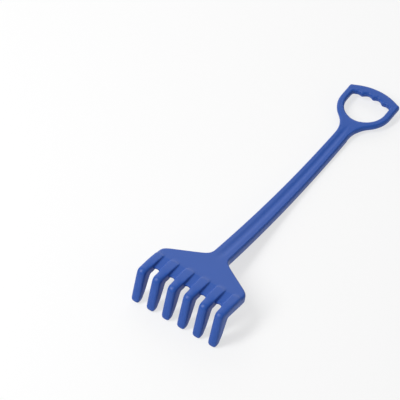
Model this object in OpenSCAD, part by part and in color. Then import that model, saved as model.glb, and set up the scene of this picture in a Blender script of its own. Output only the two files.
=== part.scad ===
// Sand rake in one moulded colour: head with six tines, bowed shaft and finger grip.
// Millimetres. X runs across the rake, +Y from the tines to the grip, +Z up.
// The origin lies on the floor, under the middle of the rake.

/* [Shaft] */
// Radius of the shaft's bow, measured to its underside
bow_r = 1440; // [1150:10:1900]
// Length of shaft from the point that rests on the floor to the head
neck_len = 271; // [230:1:310]
// Length of shaft from the point that rests on the floor to the grip
stem_len = 82; // [60:1:110]
// Width of the shaft where it leaves the head
shaft_head_w = 31.5; // [28:0.5:36]
// Width of the shaft where it meets the grip
shaft_grip_w = 25; // [21:0.5:28]
// Depth of the shaft at the head, top to underside
shaft_depth = 13; // [12:0.5:15]
// Depth of the groove along the top of the shaft
groove_depth = 1.4; // [0.6:0.1:2]
// Length over which the groove fades out at each end of the shaft
groove_fade = 34; // [20:1:60]

/* [Head] */
// Length of the flat plate from the shaft to the roots of the tines
palm_length = 66.5; // [60:0.5:76]
// Length of the straight side of the plate behind the tine roots
shoulder_len = 16.5; // [14:0.5:22]
// Radius of the plate's shoulders
shoulder_r = 11; // [8:0.5:14]
// Distance from the shaft's joint to the corner of the plate's back edge
collar_len = 11.5; // [10.5:0.5:16]
// Radius between the plate's back edge and the shaft
neck_r = 17; // [12:0.5:18.5]

/* [Tines] */
// Spacing of the tines
tine_pitch = 28.8; // [26:0.2:34]
// Width of a tine at its root
tine_w = 15.6; // [13.4:0.2:18]
// Width of a tine at its tip
tine_tip_w = 15; // [12:0.2:15.6]
// Depth of a tine at its root
tine_depth = 13.5; // [12.5:0.5:15.5]
// Depth of a tine, front to back, below its bend
leg_depth = 18.5; // [16:0.5:21]
// Depth of a tine, front to back, at its tip
tine_tip_depth = 10; // [8.5:0.5:12]
// Length of a tine from the front of the webs to the corner of its bend
tine_reach = 23.5; // [21:0.5:28]
// Radius outside a tine's bend
bend_r = 8.5; // [8:0.5:13]
// Radius inside a tine's bend
bend_inner_r = 4; // [3:0.5:5]
// Lean of a tine's front face from upright, in degrees
tine_lean = 18; // [12:0.5:22]
// Height of the rounding at a tine's tip
tip_round = 6; // [4.5:0.5:8]
// Length of the webs between the tine roots
web_len = 27; // [22:1:34]
// Drop of a web below the tines at its front edge
web_drop = 4.5; // [3:0.5:6]
// Height of the tine roots above the plate
root_rise = 1.6; // [0.4:0.2:2.4]

/* [Grip] */
// Length of the grip from the shaft to its crown
grip_len = 122.5; // [119:0.5:128]
// Depth of the grip, top to underside
grip_depth = 11; // [9.5:0.5:13]
// Distance from the shaft to the centre of the grip's round opening
ring_y = 78.5; // [75:0.5:81]
// Radius of the opening
opening_r = 37; // [34:0.5:39]
// Width of the arms beside the opening
arm_w = 12.5; // [11:0.5:14.5]
// Straight length between the shaft and the curve into the arms
yoke_collar = 1.5; // [0.5:0.5:6]
// Rise of the crown above the grip's outer corners
crown_rise = 14; // [11:0.5:16]
// Radius of the grip's outer corners
corner_r = 5.5; // [4:0.5:8]
// Radius of the opening's upper corners
inner_corner_r = 5; // [3:0.5:6]
// Depth of the crossbar at its finger ridges
crossbar_depth = 20.5; // [18:0.5:22]
// Spacing of the finger ridges
finger_pitch = 20; // [18:0.2:21]
// Height of the finger ridges between the hollows
finger_rise = 3.2; // [1.6:0.1:3.6]

/* [Moulding] */
// Wall of the hollow sections
wall = 3; // [2.4:0.1:3.6]
// Rounding of the upper edges, measured across
edge_in = 4.5; // [3:0.1:5]
// Rounding of the upper edges, measured down
edge_down = 5.5; // [4:0.1:5.8]
// Thickness of the ribs in the hollow underside
rib_t = 2.4; // [1.8:0.1:3]
// Distance from the lower edge of the skirt to the ribs
rib_recess = 2; // [1:0.5:3]
// Spacing of the ribs under the plate
palm_rib_pitch = 45; // [38:1:48]

/* [Hidden] */
rake_blue = [0.25, 0.37, 0.66];
tine_count = 6;
shaft_rib_count = 7;
shaft_steps = 40;
edge_steps = 4;
corner_steps = 8;
root_steps = 4;
leg_steps = 4;
tip_steps = 6;
arc_steps = 20;
crown_steps = 38;

// Shares of a size, chosen by eye
groove_share = 0.36;
groove_floor_share = 0.45;
root_edge_share = 0.1;
leg_edge_share = 0.9;
tip_flat_share = 0.35;
tip_wall_share = 0.9;
slim_share = 0.3;
ridge_soft_share = 0.25;
ridge_edge_share = 0.6;
ridge_room_share = 0.75;
joint_edge_share = 0.15;
corner_edge_share = 0.85;
grip_edge_share = 0.45;

// Angles of the shaft's two ends about the centre of its bow
neck_angle = neck_len / bow_r * 180 / PI;
grip_angle = stem_len / bow_r * 180 / PI;

// Small tools for outlines
function unit(v) = v / norm(v);
function along(a, b, k) = a + (b - a) * k;
function ease(k) = let(c = min(1, max(0, k))) c * c * (3 - 2 * c);

// Side view, as [y, z] from the point where the shaft rests
function on_bow(angle, r) = [r * sin(angle), bow_r - r * cos(angle)];
neck_top = on_bow(-neck_angle, bow_r - shaft_depth);
grip_top = on_bow(grip_angle, bow_r - grip_depth);
plate_way = [-cos(neck_angle), sin(neck_angle)];
plate_up = [sin(neck_angle), cos(neck_angle)];
function on_plate(u, w) = neck_top + u * plate_way + w * plate_up;

// One round corner at b, between a and c, as points with their inward normals
function round_corner(a, b, c, r) =
    let(
        to_a = unit(a - b),
        to_c = unit(c - b),
        half = acos(to_a * to_c) / 2,
        centre = b + unit(to_a + to_c) * r / sin(half),
        start = unit(b + to_a * r / tan(half) - centre),
        end = unit(b + to_c * r / tan(half) - centre),
        turn = 180 - 2 * half,
        side = cross(b - a, c - b) > 0 ? -1 : 1
    )
    [for (i = [0:corner_steps])
        let(
            k = i / corner_steps,
            way = (sin((1 - k) * turn) * start + sin(k * turn) * end) / sin(turn),
            p = centre + r * way
        )
        [p[0], p[1], side * way[0], side * way[1]]];

// An arc with inward normals: side is -1 on an outer edge and 1 round a hole.
// The normals grow from share_a to share_b along it.
function arc(centre, r, from, to, side, steps, share_a = 1, share_b = 1) =
    [for (i = [0:steps])
        let(
            k = i / steps,
            way = [cos(along(from, to, k)), sin(along(from, to, k))],
            p = centre + r * way,
            n = side * along(share_a, share_b, k) * way
        )
        [p[0], p[1], n[0], n[1]]];

// The same outline on the other side of the middle plane, in the same turning sense
function mirrored(outline) =
    [for (i = [len(outline) - 1:-1:0]) let(p = outline[i]) [-p[0], p[1], -p[2], p[3]]];

// Solid between rings of equal length, with its two ends closed
module loft(rings, first_end = []) {
    n = len(rings[0]);
    last = (len(rings) - 1) * n;
    sides = [for (j = [0:len(rings) - 2]) for (i = [0:n - 1])
        let(a = j * n + i, b = j * n + (i + 1) % n)
        each [[a, b + n, b], [a, a + n, b + n]]];
    start = len(first_end) > 0 ? first_end : band_end(n);
    finish = [for (face = start) [for (i = [len(face) - 1:-1:0]) last + face[i]]];
    polyhedron([for (ring = rings) each ring], concat(sides, start, finish), convexity = 6);
}

// Triangles that close a channel, whose last four points are the corners of its hollow
function channel_end(n) =
    let(outer = n - 4, middle = outer / 2, right = n - 3, left = n - 2)
    concat(
        [for (i = [0:outer - 2]) [i, i + 1, i < middle ? left : right]],
        [[middle, right, left], [outer - 1, n - 4, right], [0, left, n - 1]]);

// Faces that close a band, whose outline runs out along one edge and back along the other
function band_end(n) = [for (i = [0:n / 2 - 2]) [i, i + 1, n - 2 - i, n - 1 - i]];

// An outline drawn in along its normals, at height w
function level(outline, inset, w) =
    [for (p = outline) [p[0] + p[2] * inset, p[1] + p[3] * inset, w]];

// Steps of a rounded edge, from its foot to the face above
edge_turns = [for (i = [0:edge_steps]) 90 * i / edge_steps];
function edge_inset(turn) = edge_in * (1 - cos(turn));
function edge_drop(turn) = edge_down * (1 - sin(turn));
grip_edge_down = grip_depth * grip_edge_share;
function grip_drop(turn) = grip_edge_down * (1 - sin(turn));

// Tine in side view: the outer line runs over the top and down the front
corner_u = palm_length + web_len + tine_reach;
bend_corner = on_plate(corner_u, 0);
front_way = [-sin(tine_lean), -cos(tine_lean)];
front_back = [cos(tine_lean), -sin(tine_lean)];
function on_front(z) = bend_corner + front_way * (bend_corner[1] - z) / cos(tine_lean);
// The inner line runs below the root and down the back of the leg
root_under = on_plate(palm_length, -tine_depth);
leg_line = bend_corner + front_back * leg_depth;
inner_step = cross(root_under - leg_line, plate_way) / cross(front_way, plate_way);
inner_corner = leg_line + front_way * inner_step;
back_foot = on_front(0) + [tine_tip_depth / cos(tine_lean), 0];
back_way = unit(back_foot - inner_corner);
function on_back(z) = inner_corner + back_way * (z - inner_corner[1]) / back_way[1];
outer_bend = round_corner(bend_corner - plate_way, bend_corner, bend_corner + front_way, bend_r);
inner_bend = round_corner(inner_corner - plate_way, inner_corner, inner_corner + back_way, bend_inner_r);
function yz(p) = [p[0], p[1]];

// Stations along a tine: outer point, inner point, half width, edge rounding, wall
root_stations = [for (i = [0:root_steps - 1])
    let(k = i / root_steps)
    [along(on_plate(palm_length, 0), yz(outer_bend[0]), k) + root_rise * (1 - ease(k)) * plate_up,
        along(root_under, yz(inner_bend[0]), k), tine_w / 2, ease(k), wall]];
bend_stations = [for (i = [0:corner_steps])
    [yz(outer_bend[i]), yz(inner_bend[i]), tine_w / 2, 1, wall]];
leg_stations = [for (i = [1:leg_steps])
    let(k = i / leg_steps)
    [along(yz(outer_bend[corner_steps]), on_front(tip_round), k),
        along(yz(inner_bend[corner_steps]), on_back(tip_round), k),
        along(tine_w, tine_tip_w, k) / 2, 1, wall]];
tip_end = acos(tip_flat_share);
tip_stations = [for (i = [1:tip_steps])
    let(
        turn = tip_end * i / tip_steps,
        z = tip_round * (1 - sin(turn) / sin(tip_end)),
        middle = (on_front(z) + on_back(z)) / 2,
        reach = (on_back(z) - on_front(z)) / 2 * cos(turn)
    )
    [middle - reach, middle + reach, tine_tip_w / 2 * cos(turn), cos(turn),
        2 * norm(reach) * tip_wall_share]];
stations = concat(root_stations, bend_stations, leg_stations, tip_stations);

// The rake is centred between its foremost tine point and the crown of the grip
front_y = min([for (s = stations) s[0][0]]);
crown_y = grip_top[0] + grip_len * cos(grip_angle) + grip_depth * (1 - grip_edge_share) * sin(grip_angle);
centre_y = -(front_y + crown_y) / 2;
function placed(x, side) = [x, side[0] + centre_y, side[1]];

// One cross-section of a tine: an open channel with two rounded upper edges
function tine_ring(x, s, left_share, right_share) =
    let(
        up = unit(s[0] - s[1]),
        depth = norm(s[0] - s[1]),
        half = s[2],
        hollow = max(half * slim_share, half - wall),
        left = along(left_share, leg_edge_share, s[3]) * min(1, half / (tine_tip_w / 2)),
        right = along(right_share, leg_edge_share, s[3]) * min(1, half / (tine_tip_w / 2)),
        section = concat(
            [[-half, -depth]],
            [for (t = edge_turns) [-half + left * edge_inset(t), -left * edge_drop(t)]],
            [for (i = [edge_steps:-1:0])
                [half - right * edge_inset(edge_turns[i]), -right * edge_drop(edge_turns[i])]],
            [[half, -depth], [hollow, -depth], [hollow, -s[4]], [-hollow, -s[4]], [-hollow, -depth]])
    )
    [for (p = section) placed(x + p[0], s[0] + up * p[1])];

tine_end = channel_end(len(tine_ring(0, stations[0], 1, 1)));
function tine_x(i) = (i - (tine_count - 1) / 2) * tine_pitch;

module tine(i) {
    left_share = i == 0 ? 1 : root_edge_share;
    right_share = i == tine_count - 1 ? 1 : root_edge_share;
    color(rake_blue)
        loft([for (s = stations) tine_ring(tine_x(i), s, left_share, right_share)], tine_end);
}

module tine_1() { tine(0); }
module tine_2() { tine(1); }
module tine_3() { tine(2); }
module tine_4() { tine(3); }
module tine_5() { tine(4); }
module tine_6() { tine(5); }

// The plate's own frame: y runs from the tines to the shaft, z out of its top face
module on_palm() {
    translate(placed(0, neck_top))
        rotate([-neck_angle, 0, 0])
            children();
}

// Webs that close the roots of the tines, falling away to the gaps
module tine_webs() {
    lip = [-(palm_length + web_len - wall / 2), -web_drop - wall / 2];
    web = concat(
        [[-palm_length, -wall], [-palm_length, 0]],
        [for (i = [0:corner_steps])
            let(a = 90 + 180 * i / corner_steps)
            lip + wall / 2 * [cos(a), sin(a)]]);
    color(rake_blue)
        on_palm()
            for (i = [0:tine_count - 2])
                translate([tine_x(i) + tine_w / 2, 0, 0])
                    rotate([90, 0, 90])
                        linear_extrude(tine_pitch - tine_w)
                            polygon(web);
}

// Outline of the plate; the two numbers say whether its joint faces draw in too
head_half = tine_x(tine_count - 1) + tine_w / 2;
neck_half = shaft_head_w / 2;
shoulder = [head_half, -(palm_length - shoulder_len)];
nape = [neck_half, -collar_len];
function palm_outline(front_in, neck_in) =
    let(
        right_side = concat(
            [[head_half, -palm_length, -1, front_in]],
            round_corner([head_half, -palm_length], shoulder, nape, shoulder_r),
            round_corner(shoulder, nape, [neck_half, 0], neck_r),
            [[neck_half, 0, -1, -neck_in]])
    )
    concat(right_side, mirrored(right_side));
function skirt_depth(y) = along(shaft_depth, tine_depth, -y / palm_length);
function skirt_level(outline, inset) =
    [for (p = level(outline, inset, 0)) [p[0], p[1], -skirt_depth(p[1])]];

module palm_plate() {
    joined = palm_outline(0, 0);
    hollowed = palm_outline(1, 1);
    color(rake_blue)
        on_palm()
            loft(concat(
                [level(hollowed, wall, -wall), skirt_level(hollowed, wall), skirt_level(joined, 0)],
                [for (t = edge_turns) level(joined, edge_inset(t), -edge_drop(t))]));
}

// Ribs under the plate, from its front wall to the wall behind
back_slope = (shoulder[1] - nape[1]) / (shoulder[0] - nape[0]);
function back_wall(x) =
    abs(x) < neck_half ? -wall
        : nape[1] + (abs(x) - neck_half) * back_slope - wall * sqrt(1 + back_slope * back_slope);

module palm_ribs() {
    front = -(palm_length - wall);
    color(rake_blue)
        on_palm()
            for (x = [-palm_rib_pitch, 0, palm_rib_pitch])
                translate([0, 0, -(shaft_depth - rib_recess)])
                    linear_extrude(shaft_depth - rib_recess - wall)
                        polygon([[x - rib_t / 2, front], [x + rib_t / 2, front],
                            [x + rib_t / 2, back_wall(x + rib_t / 2)],
                            [x - rib_t / 2, back_wall(x - rib_t / 2)]]);
}

// Shaft: an open channel on a bow, with a groove along its top
ceiling = -(wall + groove_depth);
function shaft_half(k) = along(shaft_head_w, shaft_grip_w, k) / 2;
function shaft_angle(k) = along(-neck_angle, grip_angle, k);
function depth_at(k) = along(shaft_depth, grip_depth, ease(k));
function on_shaft(k, section) =
    [for (p = section) placed(p[0], on_bow(shaft_angle(k), bow_r - depth_at(k) - p[1]))];
function shaft_section(k) =
    let(
        half = shaft_half(k),
        depth = depth_at(k),
        soft = along(1, grip_edge_down / edge_down, ease(k)),
        run = neck_len + stem_len,
        fade = ease(k * run / groove_fade) * ease((1 - k) * run / groove_fade),
        groove = half * groove_share,
        floor_half = groove * groove_floor_share,
        sunk = -groove_depth * fade
    )
    concat(
        [[-half, -depth]],
        [for (t = edge_turns) [-half + edge_inset(t), -soft * edge_drop(t)]],
        [[-groove, 0], [-floor_half, sunk], [floor_half, sunk], [groove, 0]],
        [for (i = [edge_steps:-1:0])
            [half - edge_inset(edge_turns[i]), -soft * edge_drop(edge_turns[i])]],
        [[half, -depth], [half - wall, -depth], [half - wall, ceiling],
            [wall - half, ceiling], [wall - half, -depth]]);

module shaft() {
    color(rake_blue)
        loft([for (i = [0:shaft_steps]) on_shaft(i / shaft_steps, shaft_section(i / shaft_steps))],
            channel_end(len(shaft_section(0))));
}

// Cross ribs between the walls of the shaft
module shaft_ribs() {
    run = neck_len + stem_len;
    color(rake_blue)
        for (i = [1:shaft_rib_count])
            loft([for (end = [-1, 1])
                let(
                    k = i / (shaft_rib_count + 1) + end * rib_t / 2 / run,
                    half = shaft_half(k) - wall,
                    foot = rib_recess - depth_at(k)
                )
                on_shaft(k, [[-half, foot], [-half, ceiling], [half, ceiling], [half, foot]])]);
}

// The grip's own frame: y runs from the shaft to the crown, z out of its top face
module on_grip() {
    translate(placed(0, grip_top))
        rotate([grip_angle, 0, 0])
            children();
}

// A flat piece of the grip with its upper and lower edges rounded
module rounded_plate(outline, under, first_end = []) {
    color(rake_blue)
        on_grip()
            loft(concat(
                [for (i = [edge_steps:-1:0])
                    level(under, edge_inset(edge_turns[i]), grip_drop(edge_turns[i]) - grip_depth)],
                [for (t = edge_turns) level(outline, edge_inset(t), -grip_drop(t))]), first_end);
}

// Yoke: the shaft opens in two curves into the round arms
ring = [0, ring_y];
ring_r = opening_r + arm_w;
stem_half = shaft_grip_w / 2;
yoke_rise = ring_y - yoke_collar;
yoke_r = (stem_half * stem_half + yoke_rise * yoke_rise - ring_r * ring_r) / (2 * (ring_r - stem_half));
yoke_curve = [stem_half + yoke_r, yoke_collar];
arm_start = -atan2(yoke_rise, yoke_curve[0]);
function yoke_outline(stem_share) =
    let(
        right_side = concat(
            [[stem_half, 0, -stem_share, 0]],
            arc(yoke_curve, yoke_r, 180, 180 + arm_start, 1, arc_steps, stem_share, 1)),
        opening = arc(ring, opening_r, arm_start, -180 - arm_start, 1, arc_steps)
    )
    concat(right_side, opening, mirrored(right_side));
// Its ends close across the stem, and then in two strips beside the opening
yoke_points = 3 * arc_steps + 5;
half_arc = arc_steps / 2;
fork = arc_steps + 1 - half_arc;
fork_left = yoke_points - 1 - fork;
apex = arc_steps + 2 + half_arc;
yoke_end = concat(
    [for (i = [0:fork - 1]) [i, i + 1, yoke_points - 2 - i, yoke_points - 1 - i]],
    [[fork, apex, fork_left]],
    [for (i = [0:half_arc - 1]) [fork + i, fork + i + 1, apex - i - 1, apex - i]],
    [for (i = [0:half_arc - 1]) [apex + i, apex + i + 1, fork_left - i - 1, fork_left - i]]);

module grip_yoke() { rounded_plate(yoke_outline(1), yoke_outline(joint_edge_share), yoke_end); }

// Crossbar: crowned outside, with hollows for four fingers inside
crown_r = (ring_r * ring_r + crown_rise * crown_rise) / (2 * crown_rise);
crown_centre = [0, grip_len - crown_r];
outer_corner = [ring_r, grip_len - crown_rise];
crown_lean = asin(ring_r / crown_r);
crown_way = [-cos(crown_lean), sin(crown_lean)];
soft_full = sqrt(1 + ridge_soft_share * ridge_soft_share) - ridge_soft_share;
// Radius of a ridge's crest, and the share of the edge rounding that it has room for
crest_r = ridge_soft_share * soft_full * finger_pitch * finger_pitch / (PI * PI * finger_rise);
crest_edge = min(ridge_edge_share, ridge_room_share * crest_r / edge_in);
function hollow_at(x) =
    let(wave = sin(180 * x / finger_pitch))
    finger_rise * (sqrt(wave * wave + ridge_soft_share * ridge_soft_share) - ridge_soft_share) / soft_full;
function finger_y(x) =
    let(r = crown_r - crossbar_depth + hollow_at(x))
    crown_centre[1] + sqrt(r * r - x * x);
finger_half = opening_r - inner_corner_r;
arm_top = finger_y(finger_half) - inner_corner_r;
finger_steps = crown_steps + 2;
finger_step = 2 * finger_half / finger_steps;
finger_edge = [for (i = [0:finger_steps])
    let(
        x = -finger_half + i * finger_step,
        rise = finger_y(x + finger_step / 2) - finger_y(x - finger_step / 2),
        n = crest_edge * unit([-rise, finger_step])
    )
    [x, finger_y(x), n[0], n[1]]];
crossbar_outline =
    let(
        tight = min(1, corner_edge_share * corner_r / edge_in),
        corner = [for (p = round_corner([ring_r, arm_top], outer_corner, outer_corner + crown_way, corner_r))
            [p[0], p[1], tight * p[2], tight * p[3]]],
        first = corner[corner_steps],
        crown_from = atan2(first[1] - crown_centre[1], first[0]),
        crown = arc(crown_centre, crown_r, crown_from, 180 - crown_from, -1, crown_steps),
        inner_corner_arc = arc([finger_half, arm_top], inner_corner_r, 90, 0, 1, corner_steps,
            crest_edge, 1),
        inner_side = [for (i = [1:corner_steps]) inner_corner_arc[i]]
    )
    concat(
        [[ring_r, arm_top, -1, 0]],
        corner,
        [for (i = [1:crown_steps - 1]) crown[i]],
        mirrored(concat([[ring_r, arm_top, -1, 0]], corner)),
        mirrored(inner_side),
        finger_edge,
        inner_side);

module grip_crossbar() { rounded_plate(crossbar_outline, crossbar_outline); }

// Arms: from the yoke round the opening and straight up to the crossbar
function arm_outline() =
    concat(
        arc(ring, ring_r, arm_start, 0, -1, arc_steps),
        [[ring_r, arm_top, -1, 0], [opening_r, arm_top, 1, 0]],
        arc(ring, opening_r, 0, arm_start, 1, arc_steps));

module grip_arm_right() { rounded_plate(arm_outline(), arm_outline()); }
module grip_arm_left() { rounded_plate(mirrored(arm_outline()), mirrored(arm_outline())); }

palm_plate();
palm_ribs();
tine_1();
tine_2();
tine_3();
tine_4();
tine_5();
tine_6();
tine_webs();
shaft();
shaft_ribs();
grip_yoke();
grip_arm_left();
grip_arm_right();
grip_crossbar();
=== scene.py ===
import bpy
import bmesh
import math
from mathutils import Matrix, Vector


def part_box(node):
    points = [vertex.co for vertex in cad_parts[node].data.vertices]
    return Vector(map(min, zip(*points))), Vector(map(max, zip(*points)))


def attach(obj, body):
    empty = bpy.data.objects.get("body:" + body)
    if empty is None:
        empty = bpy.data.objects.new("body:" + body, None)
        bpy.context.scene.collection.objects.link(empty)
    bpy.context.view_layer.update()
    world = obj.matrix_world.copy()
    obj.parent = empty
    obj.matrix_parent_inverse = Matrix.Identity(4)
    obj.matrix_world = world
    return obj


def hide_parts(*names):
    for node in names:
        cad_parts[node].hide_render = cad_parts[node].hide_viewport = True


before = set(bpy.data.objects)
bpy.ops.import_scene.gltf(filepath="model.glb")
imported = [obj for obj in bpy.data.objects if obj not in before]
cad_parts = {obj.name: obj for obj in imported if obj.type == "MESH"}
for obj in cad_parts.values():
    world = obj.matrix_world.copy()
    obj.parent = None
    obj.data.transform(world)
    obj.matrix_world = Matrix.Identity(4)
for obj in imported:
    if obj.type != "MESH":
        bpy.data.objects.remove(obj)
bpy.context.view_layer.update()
scene = bpy.context.scene
scene.view_settings.view_transform = 'Standard'
mm = 0.001
print('rake: frame loaded')

# The rake in millimetres: x across, v along its top line from the neck (tines below 0), w above that line
rake = {
    'bowR': 1440, 'neckLong': 271, 'stemLong': 82, 'wall': 3,
    'neckHalf': 15.75, 'stemHalf': 12.5, 'neckDeep': 13, 'gripDeep': 11,
    'grooveDeep': 1.2, 'grooveHalf': 0.58, 'grooveFrom': -22, 'grooveOver': 30, 'grooveFade': 36,
    'palmLong': 66.5, 'shoulderLong': 16.5, 'shoulderR': 11, 'collarLong': 11.5, 'neckR': 17,
    'headHalf': 79.8, 'rootDeep': 13.5, 'legDeep': 18.5, 'tipDeep': 10, 'lean': math.radians(18),
    'webLong': 27, 'webDrop': 3.8, 'webSet': 0.1, 'reach': 23.5, 'reachRow': 0.45, 'bendR': 8.5, 'innerR': 4,
    'edgeDrop': 2.4, 'gripEdge': 2.4, 'tineIn': 2.4, 'shaftIn': 2.3, 'barIn': 2.2,
    'legEdge': 2.7, 'rootEdge': 0.2, 'edgeStart': 0.12, 'crown': 0.5, 'crownStart': 0.5,
    'ridge': 1.7, 'ridgeFrom': 59.5, 'ridgeRun': 10.5, 'lateEdge': 5.5, 'lateSide': 1.5, 'ridgeBack': 10,
    'lipRound': 6.6, 'lipEdge': 0.61, 'lipSide': 0.24, 'lipNear': -0.2, 'lipMiddle': -0.33,
    'tipOver': -0.1, 'tipMix': 0.35,
    'ringY': 78.5, 'openR': 37, 'armWide': 12.5, 'yokeCollar': 1.5, 'forkTurn': -75, 'underRun': 12,
    'gripLong': 122.5, 'endDepth': 0.55, 'crownRise': 14, 'crownIn': 0.25, 'crownSpread': 1.39,
    'barDeep': 20.5, 'fingerPitch': 20, 'fingerRise': 4.1, 'softRidge': 0.14, 'innerCornerR': 5,
    'skirtMiddle': 0.5, 'crisp': 0.6, 'mergeGap': 0.01, 'smooth': 2,
}

# Long lines over half of the rake: across the head, and as shares of the shaft's half width
headLines = [0, 3.4, 6, 6.6, 9, 14.4, 19.8, 22.2, 22.8, 25.4, 28.8, 32.2, 34.8, 35.4, 37.8, 43.2, 48.6, 51,
             51.6, 54.2, 57.6, 61, 63.6, 64.2, 66.6, 72, 77.4, 79.8]
shaftLines = [0, 0.1, 0.19, 0.24, 0.29, 0.34, 0.39, 0.445, 0.48, 0.515, 0.55, 0.585, 0.615, 0.645, 0.675,
              0.705, 0.735, 0.765, 0.79, 0.815, 0.84, 0.865, 0.885, 0.905, 0.925, 0.95, 1]
armLines = [0, 0.23, 0.47, 0.74, 1]  # between the two edge lines of an arm
tineEdges = (3, 7, 13, 17, 23, 27)
tineColumns = (3, 4, 5, 6, 13, 14, 15, 16, 23, 24, 25, 26)
tineMiddles = (4, 5, 14, 15, 24, 25)
tineCentres = (5, 15, 25)
gapMiddles, gapNear = (0, 10, 20), (1, 9, 11, 19, 21)
rim = len(headLines) - 1
armFrom = rim - 6

# Rows: distance along the top line, from the tine tips to the grip
legRows = [2.8, 6.5, 14, 26, 40]
bendRows = 4
solidRows = 3  # at the tips, not hollow
tipHalves = (0.5, 0.88, 0.98)
tipDrops = (3.8, 1.2, 0.2)
webRows = [20.5, 14, 7.5, 3]
palmRows = [66.5, 65, 63.5, 60, 54.5, 48, 41, 31, 22, 15, 9, 3]
shaftRows = [0, 3, 14, 45, 110, 180, 250, 315, 350, 353]
yokeRows = [0.1, 0.26, 0.44, 0.62, 0.79, 0.92, 1]
armTurns = [-68, -60, -52.5, -44, -35, -26, -17, -8, 0]
armUprights = [(0.45, 0.28), (0.9, 0.56)]  # share of the way up, inside and outside
cornerTurns = [(25, 0, 6), (48, -0.3, 1.6), (70, 0.9, -1.5)]  # turn inside, place from the outer corner
barSteps = 16


def blendTo(a, b, k):
    return a + (b - a) * k


def ease(k):
    c = min(1, max(0, k))
    return c * c * (3 - 2 * c)


# Side view of the shaft, plate and grip, from the point where the shaft rests
def onBow(angle, r):
    return Vector((r * math.sin(angle), rake['bowR'] - r * math.cos(angle)))


neckTurn = rake['neckLong'] / rake['bowR']
gripTurn = rake['stemLong'] / rake['bowR']
shaftLong = rake['neckLong'] + rake['stemLong']
neckTop = onBow(-neckTurn, rake['bowR'] - rake['neckDeep'])
gripTop = onBow(gripTurn, rake['bowR'] - rake['gripDeep'])
plateWay = Vector((-math.cos(neckTurn), math.sin(neckTurn)))
plateUp = Vector((math.sin(neckTurn), math.cos(neckTurn)))
gripWay = Vector((math.cos(gripTurn), math.sin(gripTurn)))
gripUp = Vector((-math.sin(gripTurn), math.cos(gripTurn)))


def onPlate(u, w):
    return neckTop + plateWay * u + plateUp * w


def crossOf(a, b):
    return a.x * b.y - a.y * b.x


# A round bend from one way to another at a corner: its start, centre, ways and turn
def bendAt(corner, wayIn, wayOut, r):
    turn = wayIn.angle(wayOut)
    run = r * math.tan(turn / 2)
    side = (wayOut - wayIn * wayIn.dot(wayOut)).normalized()
    start = corner - wayIn * run
    return {'start': start, 'end': corner + wayOut * run, 'centre': start + side * r,
            'in': wayIn, 'side': side, 'turn': turn, 'r': r, 'run': run}


def onBend(bend, k):
    a = bend['turn'] * k
    return bend['centre'] + (bend['in'] * math.sin(a) - bend['side'] * math.cos(a)) * bend['r']


# A tine's outer line over the top and down the front, and its inner line below
bendCorner = onPlate(rake['palmLong'] + rake['webLong'] + rake['reach'], 0)
frontWay = Vector((-math.sin(rake['lean']), -math.cos(rake['lean'])))
frontBack = Vector((math.cos(rake['lean']), -math.sin(rake['lean'])))
frontFoot = bendCorner + frontWay * (bendCorner.y / math.cos(rake['lean']))
rootUnder = onPlate(rake['palmLong'], -rake['rootDeep'])
legLine = bendCorner + frontBack * rake['legDeep']
innerCorner = legLine + frontWay * (crossOf(rootUnder - legLine, plateWay) / crossOf(frontWay, plateWay))
backFoot = frontFoot + Vector((rake['tipDeep'] / math.cos(rake['lean']), 0))
outerBend = bendAt(bendCorner, plateWay, frontWay, rake['bendR'])
innerBend = bendAt(innerCorner, plateWay, (backFoot - innerCorner).normalized(), rake['innerR'])
bendFrom = (outerBend['start'] - neckTop).length
bendTo = bendFrom + outerBend['r'] * outerBend['turn']
tipAt = bendTo + (frontFoot - outerBend['end']).length
lipAt = rake['palmLong'] + rake['webLong']
gripEnd = rake['gripLong'] * math.cos(gripTurn) + rake['gripDeep'] * rake['endDepth'] * math.sin(gripTurn)
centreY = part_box('grip_crossbar')[1].y / mm - (gripTop.x + gripEnd)


def shaftDepth(v):
    return blendTo(rake['neckDeep'], rake['gripDeep'], ease(v / shaftLong))


# Puts a flat point onto the bent side view
def bentPoint(x, v, w, onTine):
    u = -v
    if v > shaftLong:
        side = gripTop + gripWay * (v - shaftLong) + gripUp * w
    elif v > 0:
        side = onBow(v / rake['bowR'] - neckTurn, rake['bowR'] - shaftDepth(v) - w)
    elif u <= rake['palmLong'] or not onTine:
        side = onPlate(u, w)
    else:
        if u < bendFrom:
            k = (u - rake['palmLong']) / (bendFrom - rake['palmLong'])
            outer, inner = onPlate(u, 0), rootUnder.lerp(innerBend['start'], k)
        elif u < bendTo:
            k = (u - bendFrom) / (bendTo - bendFrom)
            outer, inner = onBend(outerBend, k), onBend(innerBend, k)
        else:
            k = (u - bendTo) / (tipAt - bendTo)
            outer = outerBend['end'] + (frontFoot - outerBend['end']) * k
            inner = innerBend['end'] + (backFoot - innerBend['end']) * k
        side = outer + (inner - outer) * (-w / rake['rootDeep'])
    return Vector((x, side.x + centreY, side.y)) * mm


# Half width of the plate at u from the neck, and how much wider its edge line lies on the slope
slopeX = rake['headHalf'] - rake['neckHalf']
shoulderU = rake['palmLong'] - rake['shoulderLong']
slopeU = shoulderU - rake['collarLong']
slopeRun = math.hypot(slopeX, slopeU)
halfTan = math.tan(math.atan2(slopeX, slopeU) / 2)


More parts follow.
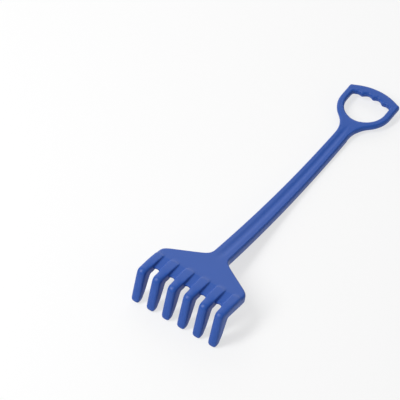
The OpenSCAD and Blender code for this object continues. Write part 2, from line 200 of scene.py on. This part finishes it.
def plateHalf(u):
    r, back = rake['shoulderR'], rake['shoulderR'] * halfTan
    if u >= shoulderU + back:
        return rake['headHalf'], 1
    if u >= shoulderU - back * slopeU / slopeRun:
        dip = (shoulderU + back - u) / r
        across = math.sqrt(1 - dip * dip)
        return rake['headHalf'] - r + r * across, 1 / across
    r, back = rake['neckR'], rake['neckR'] * halfTan
    if u >= rake['collarLong'] + back * slopeU / slopeRun:
        return rake['neckHalf'] + (u - rake['collarLong']) * slopeX / slopeU, slopeRun / slopeU
    if u > rake['collarLong'] - back:
        dip = (u - rake['collarLong'] + back) / r
        across = math.sqrt(1 - dip * dip)
        return rake['neckHalf'] + r - r * across, 1 / across
    return rake['neckHalf'], 1


def acrossHead(line, u):
    half, wider = plateHalf(u)
    if line == rim:
        return half
    share = (rake['headHalf'] - half) / slopeX
    inner = half - blendTo(rake['tineIn'], rake['shaftIn'], share) * wider
    return inner * blendTo(headLines[line] / headLines[rim - 1], shaftLines[line], share)


def acrossShaft(line, v):
    half = blendTo(rake['neckHalf'], rake['stemHalf'], v / shaftLong)
    return half if line == rim else (half - rake['shaftIn']) * shaftLines[line]


def grooveAt(line, v):
    if line == rim:
        return 0
    left, gone = v - rake['grooveFrom'], shaftLong + rake['grooveOver'] - v
    fade = ease(left / rake['grooveFade']) * ease(gone / rake['grooveFade'])
    return rake['grooveDeep'] * fade * (1 - ease(shaftLines[line] / rake['grooveHalf']))


# The yoke and the ring of the grip, in the grip's own plane
ringR = rake['openR'] + rake['armWide']
yokeRise = rake['ringY'] - rake['yokeCollar']
yokeR = (rake['stemHalf'] ** 2 + yokeRise ** 2 - ringR ** 2) / (2 * (ringR - rake['stemHalf']))
armStart = -math.atan2(yokeRise, rake['stemHalf'] + yokeR)
crownR = (ringR ** 2 + rake['crownRise'] ** 2) / (2 * rake['crownRise'])
crownY = rake['gripLong'] - crownR - rake['crownIn']


def onRing(r, angle):
    return Vector((r * math.cos(angle), rake['ringY'] + r * math.sin(angle)))


def fingerY(x):
    soft = rake['softRidge']
    wave = math.sin(math.pi * x / rake['fingerPitch'])
    full = math.sqrt(1 + soft * soft) - soft
    hollow = rake['fingerRise'] * (math.sqrt(wave * wave + soft * soft) - soft) / full
    r = crownR - rake['barDeep'] + hollow
    return crownY + math.sqrt(r * r - x * x)


# Where the outline of yoke and arm lies on a ray from the middle of the opening
def onOutline(angle):
    if angle >= armStart:
        return onRing(ringR, angle)
    way, middle = Vector((math.cos(angle), math.sin(angle))), onRing(0, angle) - yokeMiddle
    half = middle.dot(way)
    return onRing(-half - math.sqrt(half * half - middle.length_squared + yokeR ** 2), angle)


yokeMiddle = Vector((rake['stemHalf'] + yokeR, rake['yokeCollar']))
forkTurn = math.radians(rake['forkTurn'])
forkOut = onOutline(forkTurn) - yokeMiddle
forkLean = math.atan2(forkOut.y, -forkOut.x)


def acrossYoke(line, t):
    if line == rim:
        a = math.pi - forkLean * t
        return yokeMiddle + Vector((math.cos(a), math.sin(a))) * yokeR
    if line <= armFrom:
        endX = rake['openR'] * math.sin((forkTurn + math.pi / 2) * line / armFrom)
        endY = rake['ringY'] - math.sqrt(rake['openR'] ** 2 - endX ** 2)
        return Vector((blendTo(acrossShaft(line, shaftLong), endX, t), endY * t))
    inner, outer = acrossYoke(armFrom, t), acrossYoke(rim, t)
    room = (outer - inner).length
    first, second = shaftLines[armFrom], shaftLines[armFrom + 1]
    near = blendTo((second - first) * (rake['stemHalf'] - rake['shaftIn']), rake['shaftIn'], t * t)
    atShaft = (shaftLines[line] - second) / (1 - second)
    share = blendTo(atShaft, armLines[line - armFrom - 1], t)
    return inner.lerp(outer, blendTo(near, room - rake['shaftIn'], share) / room)


# Rows round the ring: a point on the opening and one on the outside
innerTop = fingerY(rake['openR'] - rake['innerCornerR']) - rake['innerCornerR']
innerEnd = rake['openR'] - rake['innerCornerR']
cornerY = rake['gripLong'] - rake['crownRise']
ringRows = [(onRing(rake['openR'], math.radians(a)), onOutline(math.radians(a))) for a in armTurns]
for inside, outside in armUprights:
    ringRows.append((Vector((rake['openR'], blendTo(rake['ringY'], innerTop, inside))),
                     Vector((ringR, blendTo(rake['ringY'], cornerY, outside)))))
for turn, x, y in cornerTurns:
    a = math.radians(turn)
    bow = Vector((math.cos(a), math.sin(a))) * rake['innerCornerR']
    ringRows.append((Vector((innerEnd, innerTop)) + bow, Vector((ringR - x, cornerY - y))))
barFrom = len(ringRows)
for step in range(barSteps + 1):
    x = innerEnd * (1 - step / barSteps)
    far = x * rake['crownSpread']
    ringRows.append((Vector((x, fingerY(x))), Vector((far, crownY + math.sqrt(crownR ** 2 - far ** 2)))))


def acrossRing(line, row):
    inner, outer = ringRows[row]
    if line <= armFrom:
        return inner
    if line == rim:
        return outer
    way = (outer - inner).normalized()
    near = inner + way * (rake['barIn'] if row >= barFrom else rake['shaftIn'])
    far = outer - way * rake['shaftIn']
    return near.lerp(far, armLines[line - armFrom - 1])


# Every row by its kind and place
rowPlan = [('leg', tipAt + rake['tipOver'])] + [('leg', tipAt - r) for r in legRows]
rowPlan += [('leg', blendTo(bendTo, bendFrom, i / bendRows)) for i in range(bendRows + 1)]
rowPlan += [('leg', blendTo(bendFrom, lipAt, rake['reachRow'])), ('web', lipAt)]
rowPlan += [('web', rake['palmLong'] + r) for r in webRows]
rowPlan += [('palm', u) for u in palmRows] + [('shaft', v) for v in shaftRows]
rowPlan += [('yoke', t) for t in yokeRows] + [('ring', i) for i in range(len(ringRows))]
rowKinds = [kind for kind, at in rowPlan]
lipRow, neckRow, gripRow = (rowKinds.index(kind) for kind in ('web', 'shaft', 'yoke'))
yokeEnd = rowKinds.index('ring') - 1


def onTineLine(line):
    return any(line in (c, c + 1) for c in tineColumns)


# The tine roots stand proud of the plate, with round ends
def ridgeAt(line, u):
    if not onTineLine(line) or u < rake['ridgeFrom']:
        return 0
    late = 0 if line in tineCentres else rake['lateEdge'] if line in tineEdges else rake['lateSide']
    fadeFrom = lipAt - rake['ridgeBack']
    fade = 1 - ease((u - fadeFrom) / (bendFrom - fadeFrom))
    return rake['ridge'] * ease((u - rake['ridgeFrom'] - late) / (rake['ridgeRun'] - late)) * fade


# Place, drop of the top and depth of one point of the half plan
def planPoint(line, row):
    kind, at = rowPlan[row]
    deep, onEdge = rake['rootDeep'], line in tineEdges
    if kind == 'leg':
        x = acrossHead(line, at)
        middle = min((headLines[c] for c in tineCentres), key=lambda c: abs(c - x))
        x = middle + (x - middle) * (tipHalves[row] if row < len(tipHalves) else 1)
        drop = tipDrops[row] if row < len(tipDrops) else 0
        edge = rake['legEdge'] if onEdge else 0 if line in tineCentres else rake['crown']
        w = ridgeAt(line, at) - max(edge, drop) - rake['tipMix'] * min(edge, drop)
        return x, -at, w, deep - drop
    if kind == 'web':
        k = (at - rake['palmLong']) / rake['webLong']
        x, w, onLip = acrossHead(line, at), ridgeAt(line, at), row == lipRow
        if line == rim:
            w -= rake['edgeDrop']
        elif onEdge:
            w -= rake['rootEdge'] + rake['legEdge'] * rake['edgeStart'] * k * k
            at += rake['lipRound'] * rake['lipEdge'] if onLip else 0
        elif onTineLine(line):
            w -= 0 if line in tineCentres else rake['crown'] * rake['crownStart'] * k
        else:
            w = -rake['webDrop'] * k - rake['webSet']
            deep = rake['wall'] - w
            lip = rake['lipMiddle' if line in gapMiddles else 'lipNear' if line in gapNear else 'lipSide']
            at += rake['lipRound'] * lip if onLip else 0
        return x, -at, w, deep
    if kind == 'palm':
        deep = blendTo(rake['neckDeep'], rake['rootDeep'], at / rake['palmLong'])
        w = ridgeAt(line, at) - (rake['edgeDrop'] if line == rim else grooveAt(line, -at))
        return acrossHead(line, at), -at, w, deep
    if kind == 'shaft':
        soft = blendTo(rake['edgeDrop'], rake['gripEdge'], ease(at / shaftLong))
        w = soft if line == rim else grooveAt(line, at)
        return acrossShaft(line, at), at, -w, shaftDepth(at)
    deep, edge = rake['gripDeep'], rake['gripEdge']
    if kind == 'yoke':
        p = acrossYoke(line, at)
        onEdge = line == rim or (row == yokeEnd and line <= armFrom)
        under = ease(p.y / rake['underRun'])
    else:
        p = acrossRing(line, at)
        onEdge = line == rim or line == armFrom
        under = 1
    dip = edge if onEdge else grooveAt(line, shaftLong + p.y) if kind == 'yoke' else 0
    return p.x, shaftLong + p.y, -dip, deep - (edge * under if onEdge else 0)


def isOpen(column, band):
    if band < lipRow:
        return column not in tineColumns
    return band >= yokeEnd and column < armFrom


# Bands of the underside that are hollow
def isHollow(column, band):
    kind, at = rowPlan[band]
    if kind == 'leg':
        return column in tineMiddles and band >= solidRows
    if kind == 'web':
        return column in tineMiddles
    if kind == 'palm':
        return column < rim - 1 and at <= rake['palmLong'] - rake['wall'] and band < neckRow - 1
    return kind == 'shaft' and column < rim - 1 and neckRow < band and at < shaftLong - rake['wall']


def newVerts(result):
    return [g for g in result['geom'] if isinstance(g, bmesh.types.BMVert)]


def newFaces(result):
    return [g for g in result['geom'] if isinstance(g, bmesh.types.BMFace)]


def makeMoulding():
    bm = bmesh.new()
    lineOf, rowOf = bm.verts.layers.int.new('line'), bm.verts.layers.int.new('row')
    levelOf = bm.verts.layers.int.new('level')
    columnOf, bandOf = bm.faces.layers.int.new('column'), bm.faces.layers.int.new('band')
    columns, bands = len(headLines) - 1, len(rowPlan) - 1
    bmesh.ops.create_grid(bm, x_segments=columns, y_segments=bands, size=1)
    for vert in bm.verts:
        vert[lineOf] = round((vert.co.x + 1) / 2 * columns)
        vert[rowOf] = round((vert.co.y + 1) / 2 * bands)
    for face in bm.faces:
        face[columnOf] = min(v[lineOf] for v in face.verts)
        face[bandOf] = min(v[rowOf] for v in face.verts)
    gone = [f for f in bm.faces if isOpen(f[columnOf], f[bandOf])]
    bmesh.ops.delete(bm, geom=gone, context='FACES')
    for vert in bm.verts:
        x, v, w, deep = planPoint(vert[lineOf], vert[rowOf])
        vert.co = (x, v, w)
    everything = bm.verts[:] + bm.edges[:] + bm.faces[:]
    bmesh.ops.mirror(bm, geom=everything, matrix=Matrix.Identity(4), merge_dist=rake['mergeGap'], axis='X')
    bmesh.ops.recalc_face_normals(bm, faces=bm.faces[:])
    # the skirt in two steps, then the hollows of the underside
    sheet = bm.faces[:]
    for level in (1, 2, 3):
        if level == 3:
            sheet = [f for f in sheet if isHollow(f[columnOf], f[bandOf])]
        made = bmesh.ops.extrude_face_region(bm, geom=sheet)
        if level > 1:
            bmesh.ops.delete(bm, geom=sheet, context='FACES')
        sheet = newFaces(made)
        for vert in newVerts(made):
            vert[levelOf] = level
    # edges of the skirt stay crisper than the rounded top
    crisp = bm.edges.layers.float.new('crease_edge')
    for edge in bm.edges:
        under = [f for f in edge.link_faces if all(v[levelOf] == 2 for v in f.verts)]
        if len(under) == 1 and all(solidRows <= v[rowOf] < gripRow for v in edge.verts):
            edge[crisp] = rake['crisp']
    for vert in bm.verts:
        x, v, w, deep = planPoint(vert[lineOf], vert[rowOf])
        side = -1 if vert.co.x < 0 else 1
        level = (w, blendTo(w, -deep, rake['skirtMiddle']), -deep, w - rake['wall'])[vert[levelOf]]
        vert.co = bentPoint(side * x, v, level, onTineLine(vert[lineOf]))
    bmesh.ops.recalc_face_normals(bm, faces=bm.faces[:])
    for layer in (lineOf, rowOf, levelOf):
        bm.verts.layers.int.remove(layer)
    mesh = bpy.data.meshes.new('rakeMoulding')
    bm.to_mesh(mesh)
    bm.free()
    mesh.polygons.foreach_set('use_smooth', [True] * len(mesh.polygons))
    piece = bpy.data.objects.new('rakeMoulding', mesh)
    scene.collection.objects.link(piece)
    smooth = piece.modifiers.new('smooth', 'SUBSURF')
    smooth.levels = smooth.render_levels = rake['smooth']
    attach(piece, 'root')
    replaced = [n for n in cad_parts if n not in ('palm_ribs', 'shaft_ribs')]
    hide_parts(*replaced)
    print('rake: moulding made,', len(mesh.polygons), 'faces before smoothing')
    return piece


# A socket with maths: expressions on it add Math nodes
class Wire:
    def __init__(self, tree, socket=None):
        self.tree = tree
        self.socket = socket

    def node(self, kind, settings=None, sockets=None, out=0):
        made = self.tree.nodes.new(kind)
        for name, value in (settings or {}).items():
            setattr(made, name, value)
        for name, value in (sockets or {}).items():
            if isinstance(value, Wire):
                self.tree.links.new(value.socket, made.inputs[name])
            else:
                made.inputs[name].default_value = value
        return Wire(self.tree, made.outputs[out]) if made.outputs else made

    def maths(self, operation, first, second):
        return self.node('ShaderNodeMath', {'operation': operation}, {0: first, 1: second})

    def __add__(self, other):
        return self.maths('ADD', self, other)

    def __radd__(self, other):
        return self.maths('ADD', other, self)

    def __sub__(self, other):
        return self.maths('SUBTRACT', self, other)

    def __mul__(self, other):
        return self.maths('MULTIPLY', self, other)

    def clamped(self):
        return self.node('ShaderNodeClamp', None, {'Value': self, 'Min': 0.0, 'Max': 1.0})


plastic = {
    'blue': (0.024, 0.094, 0.41, 1), 'deepBlue': (0.018, 0.082, 0.375, 1), 'worn': (0.06, 0.14, 0.46, 1),
    'cloud': {'Scale': 11, 'Detail': 3}, 'flow': {'Scale': 26, 'Detail': 4},
    'grain': {'Scale': 1500, 'Detail': 2}, 'peel': {'Scale': 230, 'Detail': 2},
    'stretch': (1, 0.12, 1), 'cloudTint': 0.7, 'flowTint': 0.5, 'tintLess': 0.1,
    'sharpFrom': 0.52, 'sharpTo': 0.62, 'cloudRub': 1.6, 'rubLess': 0.3, 'wear': 0.35,
    'roughness': 0.38, 'flowRough': 0.08, 'grainRough': 0.06, 'rubRough': 0.12, 'ior': 1.38,
    'peelHigh': 0.5, 'grainHigh': 0.3, 'bump': 0.06, 'bumpHigh': 0.0004,
}


def makePlastic():
    material = bpy.data.materials.new('blueMouldedPlastic')
    material.use_nodes = True
    tree = material.node_tree
    tree.nodes.clear()
    start = Wire(tree)
    place = start.node('ShaderNodeTexCoord', None, None, 'Object')
    # clouds in the pigment and long flow marks of the mould
    drawn = start.node('ShaderNodeMapping', None, {'Vector': place, 'Scale': plastic['stretch']})
    cloud, flow, grain, peel = (
        start.node('ShaderNodeTexNoise', None, {'Vector': spot, **plastic[name]})
        for name, spot in (('cloud', place), ('flow', drawn), ('grain', place), ('peel', place)))
    tint = (cloud * plastic['cloudTint'] + flow * plastic['flowTint'] - plastic['tintLess']).clamped()
    colour = start.node('ShaderNodeMix', {'data_type': 'RGBA'},
                        {'Factor': tint, 6: plastic['deepBlue'], 7: plastic['blue']}, 2)
    # rubbed, paler edges
    edge = start.node('ShaderNodeNewGeometry', None, None, 'Pointiness')
    sharp = start.node('ShaderNodeMapRange', None, {
        'Value': edge, 'From Min': plastic['sharpFrom'], 'From Max': plastic['sharpTo']}, 0)
    rub = (sharp * (cloud * plastic['cloudRub'] - plastic['rubLess']) * plastic['wear']).clamped()
    colour = start.node('ShaderNodeMix', {'data_type': 'RGBA'},
                        {'Factor': rub, 6: colour, 7: plastic['worn']}, 2)
    rough = plastic['roughness'] + (flow - 0.5) * plastic['flowRough'] + (grain - 0.5) * plastic['grainRough']
    rough = rough + rub * plastic['rubRough']
    height = peel * plastic['peelHigh'] + grain * plastic['grainHigh']
    bump = start.node('ShaderNodeBump', None, {
        'Height': height, 'Strength': plastic['bump'], 'Distance': plastic['bumpHigh']})
    shader = start.node('ShaderNodeBsdfPrincipled', None, {
        'Base Color': colour, 'Roughness': rough, 'Normal': bump, 'IOR': plastic['ior']})
    start.node('ShaderNodeOutputMaterial', None, {'Surface': shader})
    return material


studio = {
    'place': (0.79643, -1.336, 1.74172), 'right': (0.81206, 0.58358, -0.00065),
    'up': (-0.43469, 0.60561, 0.66654), 'lens': 128.91, 'sensor': 36, 'floorHalf': 6,
    'air': 0.25, 'floor': 0.9, 'white': 0.66,
    'key': {'from': (-0.4, -0.5, 0.77), 'far': 2.4, 'wide': 0.5, 'long': 2,
            'along': (0, 0.85, 0.53), 'power': 44},
    'back': {'from': (-0.55, 0.72, 0.42), 'far': 2.4, 'wide': 3, 'long': 2.5,
             'along': (0, 0, 1), 'power': 31},
    'fill': {'from': (0.9, 0.2, 0.35), 'far': 2.4, 'wide': 2, 'long': 1.2,
             'along': (0, 0, 1), 'power': 5},
}


def makeLamp(name):
    lamp = bpy.data.lights.new(name, 'AREA')
    lamp.shape = 'RECTANGLE'
    lamp.size, lamp.size_y, lamp.energy = (studio[name][k] for k in ('wide', 'long', 'power'))
    panel = bpy.data.objects.new(name, lamp)
    way = Vector(studio[name]['from']).normalized()
    across = Vector(studio[name]['along']).cross(way).normalized()
    turn = Matrix((across, way.cross(across), way)).transposed().to_4x4()
    panel.matrix_world = Matrix.Translation(way * studio[name]['far']) @ turn
    scene.collection.objects.link(panel)


def makeFloor():
    bm = bmesh.new()
    bmesh.ops.create_grid(bm, x_segments=1, y_segments=1, size=studio['floorHalf'])
    mesh = bpy.data.meshes.new('floor')
    bm.to_mesh(mesh)
    bm.free()
    floor = bpy.data.objects.new('floor', mesh)
    scene.collection.objects.link(floor)
    paper = bpy.data.materials.new('whitePaper')
    paper.use_nodes = True
    tree = paper.node_tree
    tree.nodes.clear()
    start = Wire(tree)
    ray = tree.nodes.new('ShaderNodeLightPath')
    kinds = ('Is Camera Ray', 'Is Glossy Ray', 'Is Transmission Ray')
    eye, gloss, through = (Wire(tree, ray.outputs[kind]) for kind in kinds)
    seen = (eye + gloss + through).clamped()
    shade = studio['floor']
    diffuse = start.node('ShaderNodeBsdfDiffuse', None, {'Color': (shade, shade, shade, 1)})
    white = start.node('ShaderNodeEmission', None, {'Color': (1, 1, 1, 1), 'Strength': 1.0})
    sheet = start.node('ShaderNodeMixShader', None, {0: seen * studio['white'], 1: diffuse, 2: white})
    # clear from below, so that the underside can be looked at
    below = start.node('ShaderNodeNewGeometry', None, None, 'Backfacing')
    clear = start.node('ShaderNodeBsdfTransparent')
    sheet = start.node('ShaderNodeMixShader', None, {0: below, 1: sheet, 2: clear})
    start.node('ShaderNodeOutputMaterial', None, {'Surface': sheet})
    mesh.materials.append(paper)


def makeStudio():
    right, up = Vector(studio['right']), Vector(studio['up'])
    camera = bpy.data.objects.new('camera', bpy.data.cameras.new('camera'))
    camera.data.lens = studio['lens']
    camera.data.sensor_width = studio['sensor']
    turn = Matrix((right, up, right.cross(up))).transposed().to_4x4()
    camera.matrix_world = Matrix.Translation(studio['place']) @ turn
    scene.collection.objects.link(camera)
    scene.camera = camera
    for name in ('key', 'back', 'fill'):
        makeLamp(name)
    world = bpy.data.worlds.new('studio')
    scene.world = world
    world.use_nodes = True
    world.node_tree.nodes.clear()
    air = Wire(world.node_tree)
    light = air.node('ShaderNodeBackground', None, {'Color': (1, 1, 1, 1), 'Strength': studio['air']})
    air.node('ShaderNodeOutputWorld', None, {'Surface': light})
    makeFloor()
    print('rake: studio made')


moulding = makeMoulding()
bluePlastic = makePlastic()
moulding.data.materials.append(bluePlastic)
for name in ('palm_ribs', 'shaft_ribs'):
    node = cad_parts[name]
    node.data.materials.clear()
    node.data.materials.append(bluePlastic)
print('rake: plastic made')
makeStudio()

bpy.context.view_layer.update()
